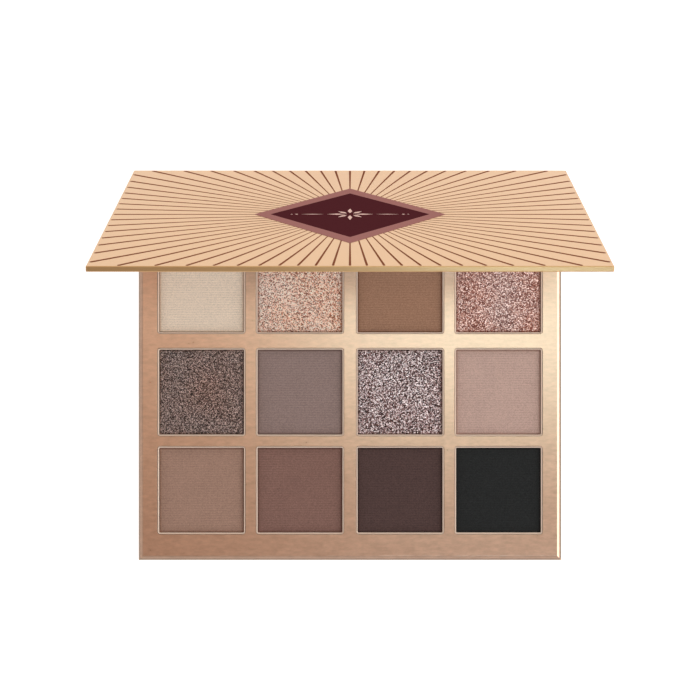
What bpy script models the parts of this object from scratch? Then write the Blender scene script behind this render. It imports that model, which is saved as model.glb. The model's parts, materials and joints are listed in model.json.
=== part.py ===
"""Book-style eyeshadow palette: a paper-covered folding case round a tray of twelve pressed-powder pans.

World frame: metres, +X right, +Y towards the spine, +Z up, origin on the base panel's underside below
the tray's centre. The case stands half open: the spine and the lid are square to each other and lean
back together on the fold along the base's rear edge. Every panel is drawn closed and then turned by the
empty that stands on its fold.
"""

import math

import bmesh
import bpy
from mathutils import Matrix, Vector

MM = 0.001

# Tray and its stack of boards.
TRAY_WIDTH = 125.0 * MM
TRAY_DEPTH = 100.6 * MM
TRAY_BOTTOM = 1.6 * MM
TRAY_TOP = 10.4 * MM
FOIL_CARD = 0.4 * MM
TRAY_CORNER = 0.8 * MM
TRAY_EDGE_ROUND = 0.55 * MM
CORE_CLEARANCE = 0.05 * MM
FLOOR_BOARD = (1.65 * MM, 5.15 * MM)
PAN_BOARD = (5.2 * MM, 9.95 * MM)
PAN_BOARD_HOLE = 26.6 * MM

# Windows, pans and powders.
COLUMNS = (-43.92 * MM, -14.8 * MM, 14.8 * MM, 43.92 * MM)
ROWS = (29.63 * MM, -0.61 * MM, -29.62 * MM)
WINDOW = 26.5 * MM
WINDOW_CORNER = 1.0 * MM
PAN = 26.0 * MM
PAN_CORNER = 0.8 * MM
PAN_WALL = 0.35 * MM
PAN_BOTTOM = 5.5 * MM
PAN_RIM = 10.1 * MM
POWDER = 25.2 * MM
POWDER_CORNER = 0.45 * MM
POWDER_TOP = 9.5 * MM
POWDER_EDGE_ROUND = 0.12 * MM
GLUE_PAD = 20.0 * MM
GLUE_PAD_SPAN = (5.2 * MM, 5.45 * MM)

# Folding case.
CASE_WIDTH = 129.2 * MM
LID_LENGTH = 104.6 * MM
BASE_WIDTH = 127.0 * MM
BASE_LENGTH = 103.7 * MM
PANEL_THICKNESS = 1.5 * MM
SPINE_HEIGHT = 13.8 * MM
FOLD_Y = 52.4 * MM
FOLD_GAP = 0.21 * MM
PAPER = 0.2 * MM
BOARD_CLEARANCE = 0.04 * MM
TURN_IN = 12.0 * MM
PANEL_EDGE_ROUND = 0.25 * MM
LEAN = math.radians(71.5)

# Lining and mirror inside the lid.
LINING_INSET = 1.4 * MM
LINING = 0.15 * MM
MIRROR_FRAME_WIDTH = 117.8 * MM
MIRROR_FRAME_Y = (-46.7 * MM, 46.5 * MM)
MIRROR_FRAME_DEPTH = 1.37 * MM
MIRROR_FRAME_CORNER = 1.2 * MM
MIRROR_FOIL = 0.22 * MM
MIRROR_BORDER = 8.9 * MM
MIRROR_LAP = 2.0 * MM
MIRROR_THICKNESS = 1.05 * MM

# Magnets that hold the lid shut.
MAGNET_X = 30.0 * MM
MAGNET_Y = -46.4 * MM
MAGNET_RADIUS = 2.5 * MM
MAGNET_POCKET_RADIUS = 2.65 * MM
TRAY_MAGNET_SPAN = (8.4 * MM, 9.9 * MM)
LID_MAGNET = 0.9 * MM

# Finishes: base colour (linear RGB), roughness, metallic. Powders by row from the spine, then by column.
CHAMPAGNE_FOIL = ((0.62, 0.42, 0.29), 0.36, 0.85)
PRINTED_PAPER = ((0.83, 0.55, 0.35), 0.5, 0.0)
LINING_PAPER = ((0.62, 0.45, 0.33), 0.6, 0.0)
GREYBOARD = ((0.42, 0.40, 0.36), 0.95, 0.0)
TINPLATE = ((0.80, 0.72, 0.62), 0.3, 1.0)
MAGNET_NICKEL = ((0.6, 0.6, 0.6), 0.25, 1.0)
SILVERED_GLASS = ((0.88, 0.9, 0.9), 0.03, 1.0)
GLUE = ((0.8, 0.8, 0.76), 0.7, 0.0)
POWDER_COLOURS = (
    ((0.63, 0.50, 0.39), (0.57, 0.36, 0.28), (0.28, 0.15, 0.10), (0.45, 0.25, 0.21)),
    ((0.17, 0.115, 0.10), (0.24, 0.165, 0.155), (0.31, 0.225, 0.22), (0.47, 0.315, 0.265)),
    ((0.305, 0.18, 0.14), (0.205, 0.11, 0.09), (0.078, 0.047, 0.042), (0.023, 0.023, 0.023)),
)
POWDER_ROUGHNESS = 0.8


def clear_scene():
    for item in list(bpy.data.objects):
        bpy.data.objects.remove(item, do_unlink=True)


def new_collection(name):
    collection = bpy.data.collections.new(name)
    bpy.context.scene.collection.children.link(collection)
    return collection


def principled(name, finish):
    colour, roughness, metallic = finish
    material = bpy.data.materials.new(name)
    material.use_nodes = True
    shader = material.node_tree.nodes["Principled BSDF"]
    shader.inputs["Base Color"].default_value = (*colour, 1.0)
    shader.inputs["Roughness"].default_value = roughness
    shader.inputs["Metallic"].default_value = metallic
    material.diffuse_color = (*colour, 1.0)
    return material


def face_outwards(bm):
    """Turns a shape right side out after a placing that mirrored it."""
    if bm.calc_volume(signed=True) < 0:
        bmesh.ops.reverse_faces(bm, faces=bm.faces)
    bm.normal_update()


def mesh_from(bm, name):
    face_outwards(bm)
    mesh = bpy.data.meshes.new(name)
    bm.to_mesh(mesh)
    bm.free()
    return mesh


def box(x_span, y_span, z_span, corner_radius=0.0, corner_steps=4):
    """A box between the given limits, its upright edges rounded."""
    bm = bmesh.new()
    bmesh.ops.create_cube(bm, size=1.0)
    low = Vector((x_span[0], y_span[0], z_span[0]))
    high = Vector((x_span[1], y_span[1], z_span[1]))
    middle = (low + high) / 2
    bmesh.ops.scale(bm, vec=high - low, verts=bm.verts)
    bmesh.ops.translate(bm, vec=middle, verts=bm.verts)
    if corner_radius:
        upright = [e for e in bm.edges if abs(e.verts[0].co.z - e.verts[1].co.z) > 0.5 * (high - low).z]
        bmesh.ops.bevel(bm, geom=upright, offset=corner_radius, segments=corner_steps, affect="EDGES", profile=0.5)
    return bm


def square(centre, side, z_span, corner_radius=0.0, corner_steps=4):
    x, y = centre
    half = side / 2
    return box((x - half, x + half), (y - half, y + half), z_span, corner_radius, corner_steps)


def disc(centre, radius, z_span, sides=32):
    bm = bmesh.new()
    height = z_span[1] - z_span[0]
    place = Matrix.Translation((centre[0], centre[1], z_span[0] + height / 2))
    bmesh.ops.create_cone(
        bm, cap_ends=True, segments=sides, radius1=radius, radius2=radius, depth=height, matrix=place
    )
    return bm


def joined(shapes):
    """Several separate closed shapes as one mesh, for use as a single cutter."""
    bm = bmesh.new()
    for shape in shapes:
        mesh = mesh_from(shape, "joined")
        bm.from_mesh(mesh)
        bpy.data.meshes.remove(mesh)
    return bm


class Builder:
    """Adds the palette's pieces and the hidden cutters to their collections."""

    def __init__(self):
        self.parts = new_collection("eyeshadow_palette")
        self.cutters = new_collection("cutters")

    def pivot(self, name, place, parent=None):
        empty = bpy.data.objects.new(name, None)
        empty.empty_display_size = 0.01
        empty.location = place
        empty.parent = parent
        self.parts.objects.link(empty)
        return empty

    def part(self, name, bm, finish, pivot=None):
        """A piece drawn in the closed case's coordinates, hung on its fold's empty."""
        if pivot:
            bmesh.ops.translate(bm, vec=-closed_position(pivot), verts=bm.verts)
        piece = bpy.data.objects.new(name, mesh_from(bm, name))
        piece.data.materials.append(principled(name, finish))
        piece.parent = pivot
        self.parts.objects.link(piece)
        return piece

    def cut(self, piece, name, bm):
        """Takes a closed shape, drawn like the piece itself, away from the piece."""
        if piece.parent:
            bmesh.ops.translate(bm, vec=-closed_position(piece.parent), verts=bm.verts)
        cutter = bpy.data.objects.new(f"cut_{name}", mesh_from(bm, name))
        cutter.parent = piece.parent
        cutter.hide_render = True
        cutter.display_type = "WIRE"
        self.cutters.objects.link(cutter)
        boolean = piece.modifiers.new(name, "BOOLEAN")
        boolean.operation = "DIFFERENCE"
        boolean.solver = "EXACT"
        boolean.object = cutter


def closed_position(pivot):
    """Where a fold's empty stands while the case is closed."""
    place = Vector(pivot.location)
    if pivot.parent:
        place += closed_position(pivot.parent)
    return place


def round_edges(piece, width, segments=2, angle=math.radians(50)):
    bevel = piece.modifiers.new("rounded", "BEVEL")
    bevel.width = width
    bevel.segments = segments
    bevel.limit_method = "ANGLE"
    bevel.angle_limit = angle
    piece.data.shade_smooth()
    piece.data.set_sharp_from_angle(angle=math.radians(35))


# Case panels. A panel's own coordinates are: reach, along it from its fold, and depth, from its outer face.


def lower_panel(reach, depth):
    return FOLD_Y - reach, depth


def upper_panel(reach, depth):
    return FOLD_Y - reach, SPINE_HEIGHT - depth


def spine_panel(reach, depth):
    return FOLD_Y - depth, reach


def slab(place, half_width, reaches, depths, mitred=(False, False), edge_round=0.0):
    """A flat bar of a panel. A mitred end runs back at 45 degrees, so that two panels fold square.

    Its edges are rounded, save those of a mitred end.
    """
    bm = bmesh.new()
    bmesh.ops.create_cube(bm, size=1.0)
    bmesh.ops.translate(bm, vec=(0.5, 0.5, 0.5), verts=bm.verts)
    start, end = reaches
    soft = []
    for edge in bm.edges:
        first, second = (round(vert.co.y) for vert in edge.verts)
        if first != second or not mitred[first]:
            soft.append(edge)
    for vert in bm.verts:
        side, along, through = vert.co
        depth = depths[0] + through * (depths[1] - depths[0])
        first = start + depth if mitred[0] else start
        last = end - depth if mitred[1] else end
        y, z = place(first + along * (last - first), depth)
        vert.co = ((2 * side - 1) * half_width, y, z)
    if edge_round:
        face_outwards(bm)
        bmesh.ops.bevel(bm, geom=soft, offset=edge_round, segments=3, affect="EDGES", profile=0.5)
    return bm


def wrapped_panel(builder, name, place, width, length, pivot=None, both_folded=False):
    """A greyboard and its cover paper, which is turned in along the panel's free edges."""
    half_width = width / 2
    far = length - FOLD_GAP if both_folded else length
    wall = 0.0 if both_folded else PAPER
    mitres = (True, both_folded)
    beyond = 3 * MM
    wrap = builder.part(
        f"{name}_wrap",
        slab(place, half_width, (FOLD_GAP, far), (0.0, PANEL_THICKNESS), mitres, PANEL_EDGE_ROUND),
        PRINTED_PAPER,
        pivot,
    )
    hollow_far = length + beyond if both_folded else length - wall
    hollow = slab(place, half_width - PAPER, (-beyond, hollow_far), (PAPER, PANEL_THICKNESS - PAPER))
    builder.cut(wrap, f"{name}_board_space", hollow)
    opening_far = length + beyond if both_folded else length - TURN_IN
    opening_depths = (PANEL_THICKNESS / 2, PANEL_THICKNESS + beyond)
    opening = slab(place, half_width - TURN_IN, (-beyond, opening_far), opening_depths)
    builder.cut(wrap, f"{name}_turn_in", opening)
    inset = PAPER + BOARD_CLEARANCE
    board_far = far if both_folded else length - inset
    return builder.part(
        f"{name}_board",
        slab(place, half_width - inset, (FOLD_GAP, board_far), (inset, PANEL_THICKNESS - inset), mitres),
        GREYBOARD,
        pivot,
    )


def spine(builder, pivot):
    wrapped_panel(builder, "spine", spine_panel, CASE_WIDTH, SPINE_HEIGHT, pivot, both_folded=True)
    start = PANEL_THICKNESS + 0.03 * MM
    inner_end = PANEL_THICKNESS + 3 * LINING
    builder.part(
        "spine_lining",
        slab(
            spine_panel,
            CASE_WIDTH / 2 - LINING_INSET,
            (inner_end, SPINE_HEIGHT - inner_end),
            (start, start + LINING),
        ),
        LINING_PAPER,
        pivot,
    )


def lid(builder, pivot):
    board = wrapped_panel(builder, "lid", upper_panel, CASE_WIDTH, LID_LENGTH, pivot)
    middle = SPINE_HEIGHT - PANEL_THICKNESS / 2
    for side, x in (("left", -MAGNET_X), ("right", MAGNET_X)):
        pocket = disc((x, MAGNET_Y), MAGNET_POCKET_RADIUS, (middle - 1 * MM, middle + 1 * MM))
        builder.cut(board, f"lid_pocket_{side}", pocket)
        magnet_span = (middle - LID_MAGNET / 2, middle + LID_MAGNET / 2)
        builder.part(f"lid_magnet_{side}", disc((x, MAGNET_Y), MAGNET_RADIUS, magnet_span), MAGNET_NICKEL, pivot)
    inner_face = SPINE_HEIGHT - PANEL_THICKNESS - 0.04 * MM
    half_width = CASE_WIDTH / 2 - LINING_INSET
    y_span = (FOLD_Y - LID_LENGTH + LINING_INSET, FOLD_Y - PANEL_THICKNESS - 4 * LINING)
    lining = box((-half_width, half_width), y_span, (inner_face - LINING, inner_face))
    builder.part("lid_lining", lining, LINING_PAPER, pivot)
    lid_mirror(builder, inner_face - LINING - 0.04 * MM, pivot)


def lid_mirror(builder, top, pivot):
    """A mirror set in a board frame, under a foil cover that laps over the mirror's edges."""
    half_width = MIRROR_FRAME_WIDTH / 2
    low_y, high_y = MIRROR_FRAME_Y
    bottom = top - MIRROR_FRAME_DEPTH
    cover = builder.part(
        "mirror_cover",
        box((-half_width, half_width), MIRROR_FRAME_Y, (bottom, top), MIRROR_FRAME_CORNER),
        CHAMPAGNE_FOIL,
        pivot,
    )
    round_edges(cover, 0.15 * MM)
    side = MIRROR_FOIL
    inner_x = half_width - side
    inner_y = (low_y + side, high_y - side)
    ceiling = bottom + MIRROR_FOIL
    inner_corner = MIRROR_FRAME_CORNER - side
    builder.cut(cover, "cover_space", box((-inner_x, inner_x), inner_y, (ceiling, top + 1 * MM), inner_corner))
    window_x = half_width - MIRROR_BORDER
    window_y = (low_y + MIRROR_BORDER, high_y - MIRROR_BORDER)
    builder.cut(cover, "mirror_window", box((-window_x, window_x), window_y, (bottom - 1 * MM, top), 1.5 * MM))
    gap = CORE_CLEARANCE
    frame_span = (ceiling + gap, top - 0.02 * MM)
    board_y = (inner_y[0] + gap, inner_y[1] - gap)
    board = builder.part(
        "mirror_board",
        box((-inner_x + gap, inner_x - gap), board_y, frame_span, inner_corner),
        GREYBOARD,
        pivot,
    )
    hole_x = window_x + MIRROR_LAP + 0.3 * MM
    hole_y = (window_y[0] - MIRROR_LAP - 0.3 * MM, window_y[1] + MIRROR_LAP + 0.3 * MM)
    builder.cut(board, "mirror_seat", box((-hole_x, hole_x), hole_y, (bottom - 1 * MM, top + 1 * MM)))
    glass_x = window_x + MIRROR_LAP
    glass_y = (window_y[0] - MIRROR_LAP, window_y[1] + MIRROR_LAP)
    glass = box((-glass_x, glass_x), glass_y, (ceiling + gap, ceiling + gap + MIRROR_THICKNESS))
    builder.part("mirror", glass, SILVERED_GLASS, pivot)


def pan_centres():
    for row, y in enumerate(ROWS, start=1):
        for column, x in enumerate(COLUMNS, start=1):
            yield row, column, (x, y)


def tray(builder):
    """A foil-covered card top with windows, over a floor board and a board that holds the pans."""
    half_width = TRAY_WIDTH / 2
    half_depth = TRAY_DEPTH / 2
    shell = builder.part(
        "tray_shell",
        box((-half_width, half_width), (-half_depth, half_depth), (TRAY_BOTTOM, TRAY_TOP), TRAY_CORNER),
        CHAMPAGNE_FOIL,
    )
    round_edges(shell, TRAY_EDGE_ROUND, segments=3)
    inner_x = half_width - FOIL_CARD
    inner_y = half_depth - FOIL_CARD
    under = (TRAY_BOTTOM - 1 * MM, TRAY_TOP - FOIL_CARD)
    builder.cut(shell, "tray_space", box((-inner_x, inner_x), (-inner_y, inner_y), under))
    through = (TRAY_TOP - 1 * MM, TRAY_TOP + 1 * MM)
    windows = [square(centre, WINDOW, through, WINDOW_CORNER) for _, _, centre in pan_centres()]
    builder.cut(shell, "windows", joined(windows))
    core_x = (-inner_x + CORE_CLEARANCE, inner_x - CORE_CLEARANCE)
    core_y = (-inner_y + CORE_CLEARANCE, inner_y - CORE_CLEARANCE)
    builder.part("tray_floor", box(core_x, core_y, FLOOR_BOARD), GREYBOARD)
    pan_board = builder.part("pan_board", box(core_x, core_y, PAN_BOARD), GREYBOARD)
    through = (PAN_BOARD[0] - 1 * MM, PAN_BOARD[1] + 1 * MM)
    holes = [square(centre, PAN_BOARD_HOLE, through, PAN_CORNER) for _, _, centre in pan_centres()]
    builder.cut(pan_board, "pan_holes", joined(holes))
    for side, x in (("left", -MAGNET_X), ("right", MAGNET_X)):
        pocket_span = (TRAY_MAGNET_SPAN[0] - CORE_CLEARANCE, PAN_BOARD[1] + 1 * MM)
        pocket = disc((x, MAGNET_Y), MAGNET_POCKET_RADIUS, pocket_span)
        builder.cut(pan_board, f"tray_pocket_{side}", pocket)
        builder.part(f"tray_magnet_{side}", disc((x, MAGNET_Y), MAGNET_RADIUS, TRAY_MAGNET_SPAN), MAGNET_NICKEL)


def pans(builder):
    """Twelve tinplate pans on glue pads, each holding a pressed cake of powder."""
    cake_bottom = PAN_BOTTOM + PAN_WALL + CORE_CLEARANCE
    for row, column, centre in pan_centres():
        place = f"r{row}c{column}"
        builder.part(f"glue_pad_{place}", square(centre, GLUE_PAD, GLUE_PAD_SPAN), GLUE)
        pan = builder.part(f"pan_{place}", square(centre, PAN, (PAN_BOTTOM, PAN_RIM), PAN_CORNER), TINPLATE)
        inside = (PAN_BOTTOM + PAN_WALL, PAN_RIM + 1 * MM)
        hollow = square(centre, PAN - 2 * PAN_WALL, inside, PAN_CORNER - PAN_WALL)
        builder.cut(pan, f"pan_inside_{place}", hollow)
        colour = POWDER_COLOURS[row - 1][column - 1]
        cake = square(centre, POWDER, (cake_bottom, POWDER_TOP), POWDER_CORNER)
        powder = builder.part(f"powder_{place}", cake, (colour, POWDER_ROUGHNESS, 0.0))
        round_edges(powder, POWDER_EDGE_ROUND)


def main():
    clear_scene()
    builder = Builder()
    spine_fold = builder.pivot("spine_fold", (0.0, FOLD_Y, 0.0))
    lid_fold = builder.pivot("lid_fold", (0.0, 0.0, SPINE_HEIGHT), spine_fold)
    wrapped_panel(builder, "base", lower_panel, BASE_WIDTH, BASE_LENGTH)
    tray(builder)
    pans(builder)
    spine(builder, spine_fold)
    lid(builder, lid_fold)
    spine_fold.rotation_euler = (-LEAN, 0.0, 0.0)


main()
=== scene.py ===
"""Looks of the eyeshadow palette: foil-covered tray, pressed powders in their pans, printed folding case.

Row frame in metres: +X right, +Y towards the spine, +Z up. The pieces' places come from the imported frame.
"""

import json
import math

import bmesh
import bpy
import numpy as np
from mathutils import Matrix, Vector


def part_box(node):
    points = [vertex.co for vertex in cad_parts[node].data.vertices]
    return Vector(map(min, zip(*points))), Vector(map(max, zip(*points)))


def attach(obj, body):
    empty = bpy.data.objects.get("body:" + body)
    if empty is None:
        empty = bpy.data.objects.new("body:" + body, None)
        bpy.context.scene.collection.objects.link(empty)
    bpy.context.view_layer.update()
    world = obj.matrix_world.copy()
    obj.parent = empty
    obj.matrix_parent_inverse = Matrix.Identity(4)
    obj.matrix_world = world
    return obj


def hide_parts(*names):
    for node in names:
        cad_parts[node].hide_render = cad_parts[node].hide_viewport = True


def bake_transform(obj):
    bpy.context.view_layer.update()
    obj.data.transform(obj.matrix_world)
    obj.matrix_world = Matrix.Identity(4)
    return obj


MM = 0.001
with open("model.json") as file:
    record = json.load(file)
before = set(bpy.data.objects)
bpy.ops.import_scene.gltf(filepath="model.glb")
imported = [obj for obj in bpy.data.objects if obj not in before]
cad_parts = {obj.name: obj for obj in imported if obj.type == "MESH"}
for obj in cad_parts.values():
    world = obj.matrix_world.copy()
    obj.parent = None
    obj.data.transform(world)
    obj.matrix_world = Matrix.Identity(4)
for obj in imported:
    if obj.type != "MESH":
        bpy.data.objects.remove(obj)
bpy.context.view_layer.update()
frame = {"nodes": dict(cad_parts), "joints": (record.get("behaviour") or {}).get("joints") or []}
NODES = frame["nodes"]

# Camera: straight above the tray, a little behind its centre.
CAMERA_HEIGHT = 545.4 * MM
CAMERA_BACK = 11.84 * MM
CAMERA_LENS = 93.1
CAMERA_SENSOR = 36.0

# Foil covers. The edge profile runs from the flat top round to the upright side as (inset, drop, tone),
# in millimetres. The tone is painted shade: it darkens the foil and thins its coat on the eased edge and
# sides.
FOIL_CARD = 0.4 * MM
EDGE_PROFILE = (
    (1.3, 0.0, 1.0),
    (1.25, 0.02, 1.0),
    (0.9, 0.14, 1.0),
    (0.58, 0.27, 0.8),
    (0.44, 0.4, 0.3),
    (0.2, 0.75, 0.17),
    (0.0, 1.3, 0.3),
    (0.0, 1.6, 0.75),
)
# Painted shade on the foil's upright sides and on the window lips that turn down into the windows.
SIDE_PAINTED_SHADE = 0.75
LIP_PAINTED_SHADE = 0.32
FLAT_MARGIN = 0.05 * MM
TRAY_CORNER = 0.8 * MM
WINDOW_GAP = 0.03 * MM
WINDOW_CORNER = 0.9 * MM
WINDOW_LIP = 0.05 * MM
WINDOW_TURN_DOWN = 0.9 * MM
MIRROR_LAP = 2.0 * MM
MIRROR_COVER_CORNER = 1.2 * MM

# Pans and powders.
PAN_CORNER = 0.8 * MM
PAN_FLOOR_ROUND = 0.4 * MM
PAN_WALL = 0.44 * MM
RIM_RISE = 0.18 * MM
CAKE_CORNER = 0.4 * MM
CAKE_GRID = 100
CAKE_EDGE_DROP = 0.4 * MM
CAKE_EDGE_REACH = 0.18 * MM
CAKE_DISH = 0.06 * MM
CAKE_DISH_REACH = 0.9 * MM
PRESS_LINE = 0.5 * MM

# Light. The world is a dim warm ceiling with bright walls, and its shares dim or brighten one side.
# Each softbox holds its place and size in metres, its colour and its power in watts.
WHITE = (1.0, 1.0, 1.0, 1.0)
WALL_LIGHT = 1.15
CEILING_LIGHT = 0.29
CEILING_TINT = (1.38, 0.96, 0.75, 1.0)
LEFT_SHARE = 0.75
RIGHT_SHARE = 1.25
FRONT_SHARE = 0.7
KEY_SOFTBOX = ((0.088, 0.031, 0.45), (0.21, 0.09), (0.6, 1.02, 1.07), 0.125)
FILL_SOFTBOX = ((-0.03, 0.03, 0.45), (0.4, 0.08), (1.0, 0.95, 0.85), 0.055)
FRONT_SOFTBOX = ((0.105, -0.3, 0.6), (0.09, 0.12), (0.62, 1.0, 1.35), 0.2)
RIGHT_SOFTBOX = ((0.5, 0.0, 0.41), (0.24, 0.5), (1.0, 1.0, 1.0), 0.9)

# Case.
FOLD_GAP = 0.21 * MM
PANEL_THICKNESS = 1.5 * MM
PAPER = 0.2 * MM
FOLD_PAPER = 0.18 * MM
FOLD_PAPER_INSET = 0.2 * MM
LINING = 0.07 * MM
LINING_INSET = 1.4 * MM
LINING_LAP = 0.25 * MM
LINING_LIFT = 0.02 * MM
GROOVE_FLOOR = (0.28 * MM, 0.35 * MM)
END_CAP_WIDTH = 1.6 * MM
END_CAP_PAPER = 0.06 * MM
END_CAP_MARGIN = 0.05 * MM
CLEARANCE = 0.01 * MM

# Lid print: a sunburst round a diamond with a small rosette. The diamond's sizes are shares of the
# lid's half width and of its length.
INK = 0.025 * MM
INK_ROOT = -0.01 * MM
BORDER_INK = 2.0 * INK
FIELD_INK = 1.4 * INK
ROSETTE_INK = 2.4 * INK
PRINT_STRETCH = 1.065
PRINT_MIDDLE = 0.509
RAYS = 72
RAY_WIDENING = 0.0062
DIAMOND = (0.4016, 0.286)
DIAMOND_FIELD = (0.334, 0.229)
EDGE_MARGIN = 0.5 * MM


# Places on the leaning spine and lid, from the two folds.

LOW_FOLD, HIGH_FOLD = (Vector(joint["pos_m"]) for joint in frame["joints"])
SPINE_RISE = (HIGH_FOLD - LOW_FOLD).normalized()
LID_REACH = Vector((0.0, -SPINE_RISE.z, SPINE_RISE.y))


def reach_of(node, origin, direction):
    """How far a CAD node stretches from a point along a direction: (least, most)."""
    reaches = [(v.co - origin).dot(direction) for v in NODES[node].data.vertices]
    return min(reaches), max(reaches)


LID_LENGTH = reach_of("lid_wrap", HIGH_FOLD, LID_REACH)[1]
LID_HALF_WIDTH = reach_of("lid_wrap", HIGH_FOLD, Vector((1.0, 0.0, 0.0)))[1]
BASE_HALF_WIDTH = reach_of("base_wrap", LOW_FOLD, Vector((1.0, 0.0, 0.0)))[1]


def on_lid(x, reach, rise=0.0):
    """A point over the lid's printed face: sideways, along it from the spine's fold, and out of it."""
    return HIGH_FOLD + Vector((x, 0.0, 0.0)) + reach * LID_REACH + rise * SPINE_RISE


# Materials.


def linear(red, green, blue):
    """A display colour, 0 to 255, as linear light."""
    values = []
    for value in (red / 255, green / 255, blue / 255):
        values.append(value / 12.92 if value <= 0.04045 else ((value + 0.055) / 1.055) ** 2.4)
    return (*values, 1.0)


class NodeTree:
    """Short ways to add nodes to a shader tree."""

    def __init__(self, tree):
        self.tree = tree

    def node(self, kind, inputs=(), **settings):
        node = self.tree.nodes.new(kind)
        for name, value in settings.items():
            setattr(node, name, value)
        for name, value in dict(inputs).items():
            if isinstance(value, bpy.types.NodeSocket):
                self.tree.links.new(value, node.inputs[name])
            else:
                node.inputs[name].default_value = value
        return node

    def maths(self, operation, first, second=0.0):
        return self.node("ShaderNodeMath", {0: first, 1: second}, operation=operation).outputs[0]

    def vector(self, operation, first, second=(0.0, 0.0, 0.0)):
        return self.node("ShaderNodeVectorMath", {0: first, 1: second}, operation=operation).outputs[0]

    def spread(self, value, low, high, start=0.0, end=1.0, **settings):
        """A value that runs from start to end, stretched to run from low to high."""
        inputs = {"Value": value, "From Min": start, "From Max": end, "To Min": low, "To Max": high}
        return self.node("ShaderNodeMapRange", inputs, **settings).outputs["Result"]


class Material(NodeTree):
    """A Principled material with textures that run in metres, in the row frame."""

    def __init__(self, name, colour, roughness, metallic=0.0):
        self.data = bpy.data.materials.new(name)
        self.data.use_nodes = True
        super().__init__(self.data.node_tree)
        self.shader = self.tree.nodes["Principled BSDF"]
        self.set(Base_Color=colour, Roughness=roughness, Metallic=metallic)
        self.place = self.node("ShaderNodeTexCoord").outputs["Object"]

    def set(self, **values):
        for name, value in values.items():
            self.shader.inputs[name.replace("_", " ")].default_value = value

    def feed(self, name, output):
        self.tree.links.new(output, self.shader.inputs[name])

    def noise(self, size, detail=2.0, stretch=(1.0, 1.0, 1.0)):
        """Noise whose features are about size metres across, from 0 to 1."""
        place = self.vector("MULTIPLY", self.place, stretch)
        inputs = {"Vector": place, "Scale": 1 / size, "Detail": detail}
        return self.node("ShaderNodeTexNoise", inputs).outputs["Fac"]

    def cells(self, size):
        """A random colour for each grain of about size metres."""
        inputs = {"Vector": self.place, "Scale": 1 / size}
        return self.node("ShaderNodeTexVoronoi", inputs).outputs["Color"]

    def ramp(self, value, stops):
        node = self.node("ShaderNodeValToRGB", {"Fac": value})
        elements = node.color_ramp.elements
        while len(elements) < len(stops):
            elements.new(0.5)
        for element, (position, colour) in zip(elements, stops):
            element.position = position
            element.color = colour
        return node.outputs["Color"]

    def tint(self, colour, brightness, saturation=1.0):
        """A colour made lighter or darker by a factor that varies over the surface."""
        inputs = {"Color": colour, "Value": brightness, "Saturation": saturation}
        return self.node("ShaderNodeHueSaturation", inputs).outputs["Color"]

    def attribute(self, name):
        """A value stored at the mesh's points."""
        return self.node("ShaderNodeAttribute", attribute_name=name).outputs["Fac"]

    def bump(self, height, depth, strength=1.0):
        inputs = {"Height": height, "Distance": depth, "Strength": strength}
        self.feed("Normal", self.node("ShaderNodeBump", inputs).outputs["Normal"])


def foil_material():
    """Champagne metallic paper with a fine leathery grain, with painted shade on its eased edges, sides and
    window lips.
    """
    colour = (0.79, 0.5, 0.35, 1.0)
    material = Material("palette_foil", colour, 0.28, 1.0)
    grain = material.noise(0.9 * MM, 1.5, stretch=(0.4, 1.0, 1.0))
    fibre = material.noise(0.4 * MM, 1.0, stretch=(0.6, 1.0, 1.0))
    cloud = material.noise(5 * MM, 2.0)
    tone = material.maths("ADD", material.spread(cloud, 0.93, 1.05), material.spread(grain, -0.17, 0.17))
    tone = material.maths("ADD", tone, material.spread(fibre, -0.05, 0.05))
    # Painted shade: the tone stored on the mesh darkens the colour and thins the coat on edges, sides and
    # lips.
    painted_shade = material.attribute("foil_painted_shade")
    material.feed("Base Color", material.tint(colour, material.maths("MULTIPLY", tone, painted_shade)))
    material.feed("Coat Weight", material.maths("MULTIPLY", painted_shade, 0.5))
    material.feed("Roughness", material.spread(grain, 0.26, 0.33))
    material.bump(material.noise(2.0 * MM, 0.0, stretch=(0.6, 1.0, 1.0)), 0.03 * MM, 0.25)
    material.set(Coat_Roughness=0.2, Coat_IOR=1.6)
    return material.data


def cover_paper_material():
    """Satin gold printed paper of the case."""
    colour = linear(208, 163, 113)
    material = Material("palette_cover_paper", colour, 0.3, 0.75)
    fibre = material.noise(0.3 * MM, 3.0)
    cloud = material.noise(12 * MM, 2.0)
    tone = material.maths("ADD", material.spread(cloud, 0.98, 1.01), material.spread(fibre, -0.02, 0.02))
    material.feed("Base Color", material.tint(colour, tone))
    material.feed("Roughness", material.spread(fibre, 0.25, 0.35))
    material.bump(fibre, 0.01 * MM, 0.5)
    material.set(Specular_IOR_Level=0.2)
    return material.data


def ink_material(name, colour, roughness):
    material = Material(name, colour, roughness)
    grain = material.noise(0.25 * MM, 2.0)
    material.feed("Base Color", material.tint(colour, material.spread(grain, 0.94, 1.05)))
    material.bump(grain, 0.006 * MM, 0.5)
    material.set(Specular_IOR_Level=0.0)
    return material.data


def lining_material():
    """Plain matte paper with short soft fibres."""
    colour = linear(214, 176, 146)
    material = Material("palette_lining", colour, 0.7)
    fibre = material.noise(0.35 * MM, 4.0, stretch=(0.35, 1.0, 1.0))
    cloud = material.noise(8 * MM, 2.0)
    tone = material.maths("ADD", material.spread(cloud, 0.97, 1.02), material.spread(fibre, -0.03, 0.03))
    material.feed("Base Color", material.tint(colour, tone))
    material.bump(fibre, 0.02 * MM, 0.6)
    return material.data


def greyboard_material():
    colour = (0.36, 0.33, 0.29, 1.0)
    material = Material("palette_greyboard", colour, 0.95)
    fibre = material.noise(0.5 * MM, 5.0, stretch=(0.4, 1.0, 1.0))
    fleck = material.spread(material.cells(0.9 * MM), -0.08, 0.08)
    tone = material.maths("ADD", material.spread(fibre, 0.85, 1.12), fleck)
    material.feed("Base Color", material.tint(colour, tone))
    material.bump(fibre, 0.05 * MM)
    return material.data


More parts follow.
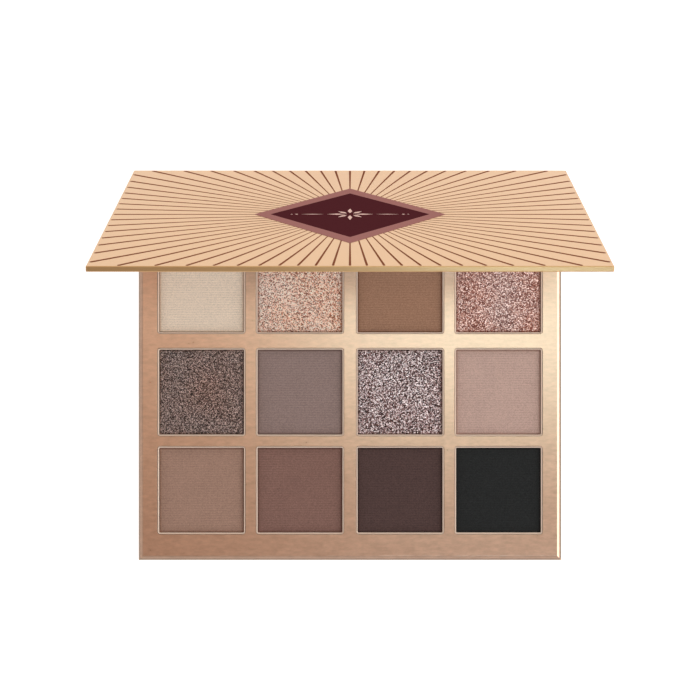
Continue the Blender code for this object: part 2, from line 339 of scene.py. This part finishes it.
def tinplate_material():
    """Rolled tinplate with fine drawing lines; its warm light colour is painted reflection of the gold foil
    and painted highlight on the rims.
    """
    # Painted reflection and highlight: the tin gets the warm light tint its rims show by reflecting the
    # gold foil.
    colour = (0.91, 0.7, 0.56, 1.0)
    material = Material("palette_tinplate", colour, 0.5, 0.15)
    drawn = material.noise(0.12 * MM, 2.0, stretch=(1.0, 1.0, 0.15))
    material.feed("Roughness", material.spread(drawn, 0.4, 0.55))
    material.feed("Base Color", material.tint(colour, material.spread(drawn, 0.94, 1.04)))
    material.bump(drawn, 0.006 * MM)
    return material.data


def nickel_material():
    material = Material("nickel_plate", (0.62, 0.6, 0.58, 1.0), 0.25, 1.0)
    material.feed("Roughness", material.spread(material.noise(0.4 * MM, 3.0), 0.18, 0.34))
    return material.data


def glue_material():
    colour = (0.78, 0.76, 0.7, 1.0)
    material = Material("palette_glue", colour, 0.6)
    foam = material.noise(0.3 * MM, 3.0)
    material.feed("Base Color", material.tint(colour, material.spread(foam, 0.9, 1.05)))
    material.bump(foam, 0.05 * MM)
    return material.data


def mirror_material():
    """Silvered float glass, with the faint waviness of a thin mirror."""
    material = Material("mirror_glass", (0.9, 0.92, 0.91, 1.0), 0.02, 1.0)
    material.feed("Roughness", material.spread(material.noise(20 * MM, 2.0), 0.012, 0.03))
    material.set(Coat_Weight=0.3, Coat_Roughness=0.01)
    return material.data


def matte_powder_material(name, colour):
    """Pressed matte powder: a soft surface with faint lines left by the pressing cloth."""
    material = Material(name, colour, 0.92)
    unevenness = 0.32 + 0.04 / (colour[1] + 0.08)
    cloud = material.noise(7 * MM, 2.0)
    grain = material.noise(0.3 * MM, 3.0)
    along = material.node("ShaderNodeSeparateXYZ", {0: material.place}).outputs["Y"]
    wave = material.maths("SINE", material.maths("MULTIPLY", along, 2 * math.pi / PRESS_LINE))
    # Wear: the press lines show more strongly in some places than in others.
    wear_and_painted_shade = material.noise(4 * MM, 2.0, stretch=(0.5, 1.0, 1.0))
    lines = material.maths("MULTIPLY", wave, material.spread(wear_and_painted_shade, -0.05, 0.25))
    speckle = material.spread(grain, -unevenness, unevenness)
    tone = material.maths("ADD", material.spread(cloud, 0.94, 1.06), speckle)
    # Painted shade stored on the cake darkens the powder towards the pan's edge.
    tone = material.maths("MULTIPLY", material.maths("ADD", tone, lines), material.attribute("cake_edge_painted_shade"))
    material.feed("Base Color", material.tint(colour, tone))
    height = material.maths("ADD", grain, material.maths("MULTIPLY", lines, 2.5))
    material.bump(height, 0.02 * MM, 0.7)
    material.set(Sheen_Weight=0.08, Sheen_Roughness=0.5, Specular_IOR_Level=0.2)
    return material.data


def glitter_powder_material(name, colour, dark, light, painted_glint, flake, sparkle):
    """Pressed glitter: random flakes, each with its own brightness and lean, in a tinted binder; the
    brightest flakes get a painted glint colour.
    """
    material = Material(name, colour, 0.5)
    flakes = material.cells(flake)
    tone = material.node("ShaderNodeSeparateColor", {0: flakes})
    fine = material.node("ShaderNodeSeparateColor", {0: material.cells(flake * 0.55)})
    coarse_share = material.maths("MULTIPLY", tone.outputs[0], 0.78)
    mixed = material.maths("ADD", coarse_share, material.maths("MULTIPLY", fine.outputs[1], 0.22))
    # The last stop paints a glint on the brightest flakes, which are also the most metallic and lean to
    # catch real light.
    stops = ((0.27, dark), (0.46, colour), (0.6, light), (0.82, painted_glint))
    patches = material.spread(material.noise(16 * MM, 1.0), -0.45, 0.45)
    hue_strength = material.maths("ADD", material.spread(tone.outputs[2], 0.94, 1.08), patches)
    # Painted shade stored on the cake darkens the glitter towards the pan's edge.
    wear_and_painted_shade = material.attribute("cake_edge_painted_shade")
    material.feed("Base Color", material.tint(material.ramp(mixed, stops), wear_and_painted_shade, hue_strength))
    shiny = material.maths("MULTIPLY", material.spread(mixed, -0.6, 1.3), sparkle)
    material.feed("Metallic", material.node("ShaderNodeClamp", {"Value": shiny}).outputs[0])
    material.feed("Roughness", material.spread(fine.outputs[0], 0.22, 0.58))
    lean = material.vector("SUBTRACT", flakes, (0.5, 0.5, 0.5))
    lean = material.vector("MULTIPLY", lean, (0.7, 0.7, 0.0))
    normal = material.node("ShaderNodeNewGeometry").outputs["Normal"]
    material.feed("Normal", material.vector("NORMALIZE", material.vector("ADD", normal, lean)))
    return material.data


# Mesh building.


def finish_piece(name, bm, material, body, smooth_angle=40.0):
    """Turns a shape into a piece, which rides on a body if one is given."""
    if bm.calc_volume(signed=True) < 0:
        bmesh.ops.reverse_faces(bm, faces=bm.faces)
    bm.normal_update()
    mesh = bpy.data.meshes.new(name)
    bm.to_mesh(mesh)
    bm.free()
    mesh.materials.append(material)
    mesh.shade_smooth()
    mesh.set_sharp_from_angle(angle=math.radians(smooth_angle))
    piece = bpy.data.objects.new(name, mesh)
    bpy.context.scene.collection.objects.link(piece)
    if body:
        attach(piece, body)
    return piece


def rounded_ring(centre, half_x, half_y, radius, z, steps=6):
    """A rounded rectangle's points, counter-clockwise, level at z."""
    radius = max(radius, 0.01 * MM)
    points = []
    for quarter, (side_x, side_y) in enumerate(((1, 1), (-1, 1), (-1, -1), (1, -1))):
        middle_x = centre[0] + side_x * (half_x - radius)
        middle_y = centre[1] + side_y * (half_y - radius)
        for step in range(steps + 1):
            angle = math.pi / 2 * (quarter + step / steps)
            x = middle_x + radius * math.cos(angle)
            points.append(Vector((x, middle_y + radius * math.sin(angle), z)))
    return points


def bridge(bm, low, high):
    """Quads between two rings of vertices."""
    for i in range(len(low)):
        j = (i + 1) % len(low)
        bm.faces.new((low[i], low[j], high[j], high[i]))


def loft(bm, rings, closed=False):
    """Quads between rings of points, with a face over each end if closed. Returns the rings' vertices."""
    made = [[bm.verts.new(point) for point in ring] for ring in rings]
    for low, high in zip(made, made[1:]):
        bridge(bm, low, high)
    if closed:
        bm.faces.new(list(reversed(made[0])))
        bm.faces.new(made[-1])
    return made


def ring_edges(ring):
    edges = []
    for i, vert in enumerate(ring):
        other = ring[(i + 1) % len(ring)]
        edges.append(next(e for e in vert.link_edges if e.other_vert(vert) is other))
    return edges


def fill_between(bm, rings):
    """A flat sheet inside the first ring and outside the others."""
    edges = [edge for ring in rings for edge in ring_edges(ring)]
    bmesh.ops.triangle_fill(bm, edges=edges, use_beauty=True)


def quarter_turn(radius, steps):
    """A rounded edge as (inset, drop) pairs, from the flat top round to the upright side."""
    for step in range(steps + 1):
        angle = math.pi / 2 * step / steps
        yield radius * (1 - math.sin(angle)), radius * (1 - math.cos(angle))


def shade_rings(rings, layer, values):
    """Gives every vertex of each ring that ring's value."""
    for ring, value in zip(rings, values):
        for vert in ring:
            vert[layer] = value


def foil_cover(low, high, corner, windows):
    """A folded-down card cover: a flat top with windows whose lips turn down, and eased outer edges.

    windows holds (centre, half_x, half_y) for each one. The top is at the box's high side.
    """
    bm = bmesh.new()
    # Painted shade for the foil, ring by ring: darker on the eased edge, the sides and the window lips.
    shade = bm.verts.layers.float.new("foil_painted_shade")
    centre = ((low.x + high.x) / 2, (low.y + high.y) / 2)
    half_x = (high.x - low.x) / 2
    half_y = (high.y - low.y) / 2
    depth = high.z - low.z
    edge = [(inset * MM, drop * MM, tone) for inset, drop, tone in EDGE_PROFILE if drop * MM < depth]
    edge.insert(0, (edge[0][0] + FLAT_MARGIN, 0.0, 1.0))
    edge += [(0.0, depth, SIDE_PAINTED_SHADE), (FOIL_CARD, depth, SIDE_PAINTED_SHADE), (FOIL_CARD, FOIL_CARD, SIDE_PAINTED_SHADE)]
    outer = []
    for inset, drop, _ in edge:
        outer.append(rounded_ring(centre, half_x - inset, half_y - inset, corner - inset, high.z - drop))
    outer_rings = loft(bm, outer)
    shade_rings(outer_rings, shade, [tone for _, _, tone in edge])
    tops = [outer_rings[0]]
    ceilings = [outer_rings[-1]]
    for place, window_x, window_y in windows:
        rings = window_lip(place, window_x, window_y, high.z)
        made = loft(bm, [list(reversed(ring)) for ring in rings])
        # Painted shade on the lips that turn down into the window.
        shade_rings(made, shade, [1.0] * 3 + [LIP_PAINTED_SHADE] * (len(made) - 3))
        tops.append(made[0])
        ceilings.append(made[-1])
    fill_between(bm, tops)
    fill_between(bm, ceilings)
    bmesh.ops.recalc_face_normals(bm, faces=bm.faces)
    return bm


def window_lip(place, half_x, half_y, top):
    """The rings of a window's edge: over a small roll, down, and back up behind the foil."""
    profile = [(WINDOW_LIP + FLAT_MARGIN, top)]
    profile += [(outset, top - drop) for outset, drop in quarter_turn(WINDOW_LIP, 4)]
    profile += [(0.0, top - WINDOW_TURN_DOWN), (PAPER, top - WINDOW_TURN_DOWN), (PAPER, top - FOIL_CARD)]
    rings = []
    for outset, height in profile:
        rings.append(rounded_ring(place, half_x + outset, half_y + outset, WINDOW_CORNER + outset, height))
    return rings


# Tray.

PLACES = [f"r{row}c{column}" for row in (1, 2, 3) for column in (1, 2, 3, 4)]


def middle_of(node):
    low, high = (Vector(corner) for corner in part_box(node))
    return (low + high) / 2, (high - low) / 2


def make_tray_cover(foil):
    low, high = (Vector(corner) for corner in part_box("tray_shell"))
    windows = []
    for place in PLACES:
        centre, half = middle_of(f"pan_{place}")
        side = half.x + WINDOW_GAP
        windows.append(((centre.x, centre.y), side, side))
    cover = finish_piece("tray_cover", foil_cover(low, high, TRAY_CORNER, windows), foil, "base")
    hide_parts("tray_shell")


def make_mirror_cover(foil):
    """The foil frame round the mirror, drawn level and then laid against the lid's inner face."""
    axes = (Vector((1.0, 0.0, 0.0)), LID_REACH, -SPINE_RISE)
    spans = [reach_of("mirror_cover", HIGH_FOLD, axis) for axis in axes]
    low, high = (Vector(span[end] for span in spans) for end in (0, 1))
    glass = [reach_of("mirror", HIGH_FOLD, axis) for axis in axes[:2]]
    centre = tuple((first + last) / 2 for first, last in glass)
    half_x, half_y = ((last - first) / 2 - MIRROR_LAP for first, last in glass)
    bm = foil_cover(low, high, MIRROR_COVER_CORNER, [(centre, half_x, half_y)])
    turn = Matrix(axes).transposed().to_4x4()
    bm.transform(Matrix.Translation(HIGH_FOLD) @ turn)
    cover = finish_piece("mirror_frame", bm, foil, "lid")
    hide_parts("mirror_cover")


def make_pan(place, tinplate):
    """A drawn pan with a rounded floor edge and a smooth rolled rim."""
    node = f"pan_{place}"
    centre, half = middle_of(node)
    spot = (centre.x, centre.y)
    bottom = centre.z - half.z
    rim = centre.z + half.z + RIM_RISE
    rings = []
    for inset, drop in quarter_turn(PAN_FLOOR_ROUND, 4):
        rings.append(rounded_ring(spot, half.x - inset, half.x - inset, PAN_CORNER - inset, bottom + drop))
    roll = PAN_WALL / 2
    for step in range(7):
        angle = math.pi * step / 6
        inset = roll * (1 - math.cos(angle))
        height = rim - roll + roll * math.sin(angle)
        rings.append(rounded_ring(spot, half.x - inset, half.x - inset, PAN_CORNER - inset, height))
    inner = half.x - PAN_WALL
    rings.append(rounded_ring(spot, inner, inner, PAN_CORNER - PAN_WALL, bottom + PAN_WALL))
    bm = bmesh.new()
    loft(bm, rings, closed=True)
    pan = finish_piece(f"tin_{place}", bm, tinplate, "base")
    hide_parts(node)


def smooth_noise(x, y, size, seed, waves=14):
    """A gentle uneven surface about 1 high, from waves in random directions."""
    draw = np.random.default_rng(seed)
    total = np.zeros_like(x)
    for _ in range(waves):
        angle, phase = draw.uniform(0, 2 * math.pi, 2)
        length = size * draw.uniform(0.6, 1.8)
        total += np.sin(2 * math.pi * (x * math.cos(angle) + y * math.sin(angle)) / length + phase)
    return total / math.sqrt(waves)


def cake_surface(half, seed, glitter):
    """The pressed top of a cake as grids of x, y, height over the cake's top, and its painted shade near
    the edge.
    """
    steps = np.linspace(-1.0, 1.0, CAKE_GRID)
    steps = np.sign(steps) * (1 - (1 - np.abs(steps)) ** 1.25)
    x, y = np.meshgrid(steps * half, steps * half)
    over_x = np.abs(x) - (half - CAKE_CORNER)
    over_y = np.abs(y) - (half - CAKE_CORNER)
    reach = np.hypot(np.maximum(over_x, 0), np.maximum(over_y, 0))
    in_corner = (over_x > 0) & (over_y > 0)
    pull = np.where(in_corner & (reach > CAKE_CORNER), CAKE_CORNER / np.maximum(reach, 1e-9), 1.0)
    x = np.where(pull < 1, np.sign(x) * (half - CAKE_CORNER + over_x * pull), x)
    y = np.where(pull < 1, np.sign(y) * (half - CAKE_CORNER + over_y * pull), y)
    edge = np.minimum(half - np.abs(x), half - np.abs(y))
    corner_edge = CAKE_CORNER - np.hypot(np.maximum(over_x * pull, 0), np.maximum(over_y * pull, 0))
    edge = np.where(in_corner, np.maximum(corner_edge, 0), edge)
    height = -CAKE_EDGE_DROP * np.exp(-((edge / CAKE_EDGE_REACH) ** 1.3))
    height -= CAKE_DISH * np.exp(-edge / CAKE_DISH_REACH)
    height += 0.012 * MM * smooth_noise(x, y, 6 * MM, seed)
    if glitter:
        height += 0.016 * MM * smooth_noise(x, y, 0.9 * MM, seed + 50, 30)
        height += 0.014 * MM * np.random.default_rng(seed + 90).standard_normal(x.shape)
    else:
        height += 0.003 * MM * np.sin(2 * math.pi * y / PRESS_LINE)
    # Painted shade: the cake darkens towards its edge, where the pan's rim shades it.
    wear_and_painted_shade = 1 - 0.2 * np.exp(-edge / (1.2 * MM)) - 0.4 * np.exp(-edge / (0.15 * MM))
    return x, y, height, wear_and_painted_shade


def make_cake(place, seed, material, glitter):
    node = f"powder_{place}"
    centre, half = middle_of(node)
    tin_half = middle_of(f"pan_{place}")[1].x
    x, y, height, wear_and_painted_shade = cake_surface(min(half.x, tin_half - PAN_WALL - CLEARANCE), seed, glitter)
    top = centre.z + half.z
    points = np.stack([x + centre.x, y + centre.y, height + top], axis=-1)
    bm = bmesh.new()
    grid = [[bm.verts.new(point) for point in row] for row in points]
    last = CAKE_GRID - 1
    for i in range(last):
        for j in range(last):
            bm.faces.new((grid[i][j], grid[i][j + 1], grid[i + 1][j + 1], grid[i + 1][j]))
    border = [grid[0][j] for j in range(last)] + [grid[i][last] for i in range(last)]
    border += [grid[last][j] for j in range(last, 0, -1)] + [grid[i][0] for i in range(last, 0, -1)]
    foot_level = centre.z - half.z
    foot = [bm.verts.new((vert.co.x, vert.co.y, foot_level)) for vert in border]
    bridge(bm, foot, border)
    bm.faces.new(foot)
    bm.normal_update()
    bmesh.ops.recalc_face_normals(bm, faces=bm.faces)
    cake = finish_piece(f"cake_{place}", bm, material, "base", 60.0)
    # The painted edge shade is kept on the cake's points for its material.
    shades = cake.data.attributes.new("cake_edge_painted_shade", "FLOAT", "POINT")
    shades.data.foreach_set("value", np.concatenate([wear_and_painted_shade.ravel(), np.full(len(border), wear_and_painted_shade[0, 0])]))
    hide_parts(node)


# Shades, row by row from the spine. Each glitter has its middle, dark, light and painted glint colours,
# the size of its flakes and how metallic they are.
MATTE = {
    "r1c1": linear(244, 222, 200),
    "r1c3": linear(164, 123, 99),
    "r2c2": linear(150, 127, 121),
    "r2c4": linear(199, 167, 155),
    "r3c1": linear(169, 134, 117),
    "r3c2": linear(138, 103, 93),
    "r3c3": linear(85, 64, 61),
    "r3c4": linear(38, 39, 39),
}
GLITTER = {
    "r1c2": (
        linear(255, 188, 162),
        linear(128, 78, 60),
        linear(255, 218, 197),
        linear(255, 237, 219),
        0.24 * MM,
        0.45,
    ),
    "r1c4": (
        linear(174, 111, 96),
        linear(113, 58, 49),
        linear(206, 147, 129),
        linear(255, 223, 212),
        0.23 * MM,
        0.5,
    ),
    "r2c1": (
        linear(77, 55, 49),
        linear(28, 18, 15),
        linear(121, 94, 87),
        linear(208, 178, 167),
        0.19 * MM,
        0.5,
    ),
    "r2c3": (
        linear(112, 76, 71),
        linear(35, 18, 16),
        linear(176, 143, 142),
        linear(250, 235, 234),
        0.26 * MM,
        0.6,
    ),
}


def make_powders():
    for seed, place in enumerate(PLACES, start=1):
        name = f"powder_{place}"
        if place in GLITTER:
            material = glitter_powder_material(name, *GLITTER[place])
        else:
            material = matte_powder_material(name, MATTE[place])
        make_cake(place, seed, material, place in GLITTER)


# Lid print.


def inlay(bm, outline, rise):
    """A flat raised shape on the lid: outline holds (x, reach) pairs."""
    rings = [[on_lid(x, reach, height) for x, reach in outline] for height in (INK_ROOT, rise)]
    loft(bm, rings, closed=True)


def frame_inlay(bm, outer, inner, rise):
    """A raised band between two outlines with the same number of corners."""
    rings = []
    for outline, height in ((outer, INK_ROOT), (outer, rise), (inner, rise), (inner, INK_ROOT)):
        rings.append([on_lid(x, reach, height) for x, reach in outline])
    made = loft(bm, rings)
    bridge(bm, made[-1], made[0])


def diamond(half_x, half_reach):
    middle = PRINT_MIDDLE * LID_LENGTH
    return [(half_x, middle), (0.0, middle + half_reach), (-half_x, middle), (0.0, middle - half_reach)]


def ray_span(angle, clear):
    """Where a ray starts, at the diamond, and ends, at the lid's edge, in lengths along its direction."""
    side = math.cos(angle)
    along = PRINT_STRETCH * math.sin(angle)
    half_x, half_reach = clear
    start = 1 / (abs(side) / half_x + abs(along) / half_reach)
    middle = PRINT_MIDDLE * LID_LENGTH
    limits = []
    if abs(side) > 1e-9:
        limits.append((LID_HALF_WIDTH - EDGE_MARGIN) / abs(side))
    if abs(along) > 1e-9:
        room = (LID_LENGTH - EDGE_MARGIN - middle) if along > 0 else (middle - EDGE_MARGIN)
        limits.append(room / abs(along))
    return side, along, start, min(limits)


def make_rays(ink):
    bm = bmesh.new()
    clear = (DIAMOND[0] * LID_HALF_WIDTH, DIAMOND[1] * LID_LENGTH)
    middle = PRINT_MIDDLE * LID_LENGTH
    for index in range(RAYS):
        side, along, start, end = ray_span(2 * math.pi * index / RAYS, clear)
        length = math.hypot(side, along)
        narrow, wide = (RAY_WIDENING * distance for distance in (start, end))
        outline = ((start * 0.97, narrow), (end - wide, wide), (end - 0.2 * wide, 0.55 * wide))
        corners = []
        for sign, points in ((-1, outline), (1, reversed(outline))):
            for distance, half in points:
                x = side * distance - sign * along / length * half
                corners.append((x, middle + along * distance + sign * side / length * half))
        inlay(bm, corners, INK)
    rays = finish_piece("lid_rays", bm, ink, "lid")


def make_diamond(border_ink, field_ink):
    outer = (DIAMOND[0] * LID_HALF_WIDTH, DIAMOND[1] * LID_LENGTH)
    field = (DIAMOND_FIELD[0] * LID_HALF_WIDTH, DIAMOND_FIELD[1] * LID_LENGTH)
    bm = bmesh.new()
    frame_inlay(bm, diamond(*outer), diamond(*field), BORDER_INK)
    border = finish_piece("lid_diamond_border", bm, border_ink, "lid")
    bm = bmesh.new()
    inlay(bm, diamond(*field), FIELD_INK)
    centre = finish_piece("lid_diamond_field", bm, field_ink, "lid")


def make_rosette(ink):
    """A small eight-petalled flower between two tapering bars with beads."""
    middle = PRINT_MIDDLE * LID_LENGTH
    bm = bmesh.new()
    for petal in range(8):
        angle = math.pi / 4 * petal
        along = (math.cos(angle), math.sin(angle))
        across = (-along[1], along[0])
        length = (4.6 if petal % 2 else 6.2) * MM
        shape = ((1.2 * MM, 0.0), (0.55 * length, 0.62 * MM), (length, 0.0), (0.55 * length, -0.62 * MM))
        outline = []
        for a, b in shape:
            outline.append((a * along[0] + b * across[0], middle + a * along[1] + b * across[1]))
        inlay(bm, outline, ROSETTE_INK)
    for side in (-1, 1):
        for start, end, half in ((7.2, 13.2, 0.28), (14.0, 14.9, 0.42), (15.5, 16.1, 0.28)):
            mid = (start + end) / 2 * MM
            outline = ((start * MM, 0), (mid, half * MM), (end * MM, 0), (mid, -half * MM))
            inlay(bm, [(side * x, middle + side * y) for x, y in outline], ROSETTE_INK)
    rosette = finish_piece("lid_rosette", bm, ink, "lid")


# Folds: the cover paper round the outside of each fold, and the lining in its groove.


def fold_strip(name, material, bodies, fold, half_width, panels, outline, thickness):
    """A sheet across a fold. outline holds (reach, depth) points of one side; the other side mirrors them.

    panels holds (direction away from the fold, direction inwards) for each of the two panels.
    """
    (away_1, inward_1), (away_2, inward_2) = panels
    first = [away_1 * reach + inward_1 * depth for reach, depth in outline]
    second = [away_2 * reach + inward_2 * depth for reach, depth in reversed(outline)]
    bisector = (inward_1 + inward_2).normalized()
    bottom = bisector * outline[-1][1] * 0.7
    outer = [*first, bottom, *second]
    normals = [inward_1] * len(first) + [bisector] + [inward_2] * len(second)
    inner = [point + normal * thickness for point, normal in zip(outer, normals)]
    section = outer + list(reversed(inner))
    bm = bmesh.new()
    ends = []
    for x in (-half_width, half_width):
        ends.append([fold + Vector((x, 0.0, 0.0)) + point for point in section])
    loft(bm, ends, closed=True)
    strip = finish_piece(name, bm, material, None, 60.0)
    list(bodies)
    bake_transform(strip)


def end_caps(name, body, paper, mitres):
    """Paper turned over the slanted ends of a board, near its two sides.

    mitres holds (fold, direction away from it, direction inwards, half width) for each slanted end.
    """
    bm = bmesh.new()
    for fold, away, inward, half_width in mitres:
        slant = (away + inward) * (PANEL_THICKNESS - 2 * END_CAP_MARGIN)
        thickness = (away - inward).normalized() * END_CAP_PAPER
        low = fold + away * (FOLD_GAP + CLEARANCE) + inward * END_CAP_MARGIN
        section = (low, low + slant, low + slant + thickness, low + thickness)
        for side in (-1, 1):
            ends = []
            for x in (side * (BASE_HALF_WIDTH - END_CAP_WIDTH), side * (half_width - CLEARANCE)):
                ends.append([point + Vector((x, 0.0, 0.0)) for point in section])
            loft(bm, ends, closed=True)
    bmesh.ops.recalc_face_normals(bm, faces=bm.faces)
    caps = finish_piece(name, bm, paper, body)


def make_folds(paper, lining):
    up = Vector((0.0, 0.0, 1.0))
    front = Vector((0.0, -1.0, 0.0))
    base_side = (front, up)
    spine_low_side = (SPINE_RISE, LID_REACH)
    spine_high_side = (-SPINE_RISE, LID_REACH)
    lid_side = (LID_REACH, -SPINE_RISE)
    cover = ((FOLD_GAP, 0.0),)
    groove_top = FOLD_GAP + PANEL_THICKNESS
    groove = (
        (groove_top + LINING_LAP, PANEL_THICKNESS + LINING_LIFT),
        (groove_top + LINING_LIFT, PANEL_THICKNESS + LINING_LIFT),
        (FOLD_GAP + GROOVE_FLOOR[0], GROOVE_FLOOR[1]),
    )
    folds = (
        ("low_fold", ("base", "spine"), LOW_FOLD, BASE_HALF_WIDTH, (base_side, spine_low_side)),
        ("high_fold", ("spine", "lid"), HIGH_FOLD, LID_HALF_WIDTH, (spine_high_side, lid_side)),
    )
    low_end = (LOW_FOLD, *spine_low_side, LID_HALF_WIDTH)
    high_end = (HIGH_FOLD, *spine_high_side, LID_HALF_WIDTH)
    end_caps("base_end_caps", "base", paper, ((LOW_FOLD, *base_side, BASE_HALF_WIDTH),))
    end_caps("spine_end_caps", "spine", paper, (low_end, high_end))
    end_caps("lid_end_caps", "lid", paper, ((HIGH_FOLD, *lid_side, LID_HALF_WIDTH),))
    for name, bodies, fold, half_width, panels in folds:
        inner = half_width - FOLD_PAPER_INSET
        fold_strip(f"{name}_cover", paper, bodies, fold, inner, panels, cover, FOLD_PAPER)
        inner = half_width - LINING_INSET
        fold_strip(f"{name}_lining", lining, bodies, fold, inner, panels, groove, LINING)


# Pieces that keep their shape.


def dress_nodes(materials):
    """Gives each CAD node that stays in view its material: the first whose word is in the node's name."""
    for name, node in NODES.items():
        for word, material in materials.items():
            if word in name:
                node.data.materials.clear()
                node.data.materials.append(material)
                break


# Studio.


def make_floor():
    bm = bmesh.new()
    bmesh.ops.create_grid(bm, x_segments=1, y_segments=1, size=2.5)
    bmesh.ops.translate(bm, vec=(0.0, 0.0, -0.3 * MM), verts=bm.verts)
    material = Material("studio_floor", (0.55, 0.55, 0.55, 1.0), 0.9)
    material.set(Emission_Color=WHITE, Emission_Strength=0.86)
    mesh = bpy.data.meshes.new("studio_floor")
    bm.to_mesh(mesh)
    bm.free()
    mesh.materials.append(material.data)
    floor = bpy.data.objects.new("studio_floor", mesh)
    bpy.context.scene.collection.objects.link(floor)


def make_softbox(name, softbox):
    """A rectangular lamp aimed at the tray, its second side running front to back.

    softbox holds its place, size, colour and power.
    """
    place, size, colour, power = softbox
    back = Vector(place).normalized()
    across = Vector((0.0, 1.0, 0.0)).cross(back).normalized()
    turn = Matrix((across, back.cross(across), back)).transposed()
    light = bpy.data.lights.new(name, "AREA")
    light.shape = "RECTANGLE"
    light.size, light.size_y = size
    light.color = colour
    light.energy = power
    lamp = bpy.data.objects.new(name, light)
    lamp.matrix_world = Matrix.Translation(place) @ turn.to_4x4()
    lamp.visible_camera = False
    bpy.context.scene.collection.objects.link(lamp)


def make_world():
    """White to the camera; as a light, a dim ceiling with bright walls, brightest on the right."""
    world = bpy.data.worlds.new("studio")
    bpy.context.scene.world = world
    world.use_nodes = True
    world.node_tree.nodes.clear()
    sky = NodeTree(world.node_tree)
    split = sky.node("ShaderNodeSeparateXYZ", {0: sky.node("ShaderNodeTexCoord").outputs["Generated"]})
    x, y, z = (split.outputs[axis] for axis in "XYZ")
    height = sky.spread(z, WALL_LIGHT, CEILING_LIGHT, 0.32, 0.92, interpolation_type="SMOOTHSTEP")
    front = sky.spread(y, FRONT_SHARE, 1.0, -0.8, -0.25)
    side = sky.spread(x, LEFT_SHARE, RIGHT_SHARE, -0.8, 0.8)
    strength = sky.maths("MULTIPLY", sky.maths("MULTIPLY", height, front), side)
    zenith = sky.spread(z, 0.0, 1.0, 0.7, 0.98)
    tinted = sky.node("ShaderNodeMix", {"Factor": zenith, "A": WHITE, "B": CEILING_TINT}, data_type="RGBA")
    glow = sky.node("ShaderNodeBackground", {"Color": tinted.outputs["Result"], "Strength": strength})
    seen = sky.node("ShaderNodeBackground", {"Color": WHITE})
    to_camera = sky.node("ShaderNodeLightPath").outputs["Is Camera Ray"]
    mix = sky.node("ShaderNodeMixShader", {0: to_camera, 1: glow.outputs[0], 2: seen.outputs[0]})
    sky.node("ShaderNodeOutputWorld", {"Surface": mix.outputs[0]})


def make_camera():
    data = bpy.data.cameras.new("camera")
    data.lens = CAMERA_LENS
    data.sensor_width = CAMERA_SENSOR
    data.clip_start = 0.01
    camera = bpy.data.objects.new("camera", data)
    camera.location = (0.0, CAMERA_BACK, CAMERA_HEIGHT)
    bpy.context.scene.collection.objects.link(camera)
    bpy.context.scene.camera = camera


def main():
    foil = foil_material()
    paper = cover_paper_material()
    lining = lining_material()
    tinplate = tinplate_material()
    greyboard = greyboard_material()
    make_tray_cover(foil)
    make_mirror_cover(foil)
    for place in PLACES:
        make_pan(place, tinplate)
    make_powders()
    make_rays(ink_material("ray_ink", linear(128, 76, 54), 0.7))
    rose_ink = ink_material("rose_ink", linear(156, 106, 100), 0.7)
    make_diamond(rose_ink, ink_material("burgundy_ink", linear(76, 34, 38), 0.7))
    make_rosette(ink_material("rosette_ink", linear(222, 184, 172), 0.6))
    make_folds(paper, lining)
    dress_nodes({
        "_wrap": paper,
        "_lining": lining,
        "mirror_board": greyboard,
        "mirror": mirror_material(),
        "magnet": nickel_material(),
        "glue_pad": glue_material(),
        "board": greyboard,
        "tray_floor": greyboard,
    })
    make_floor()
    make_world()
    make_softbox("key_softbox", KEY_SOFTBOX)
    make_softbox("fill_softbox", FILL_SOFTBOX)
    make_softbox("front_softbox", FRONT_SOFTBOX)
    make_softbox("right_softbox", RIGHT_SOFTBOX)
    make_camera()
    view = bpy.context.scene.view_settings
    view.view_transform = "Standard"
    view.look = "None"


main()
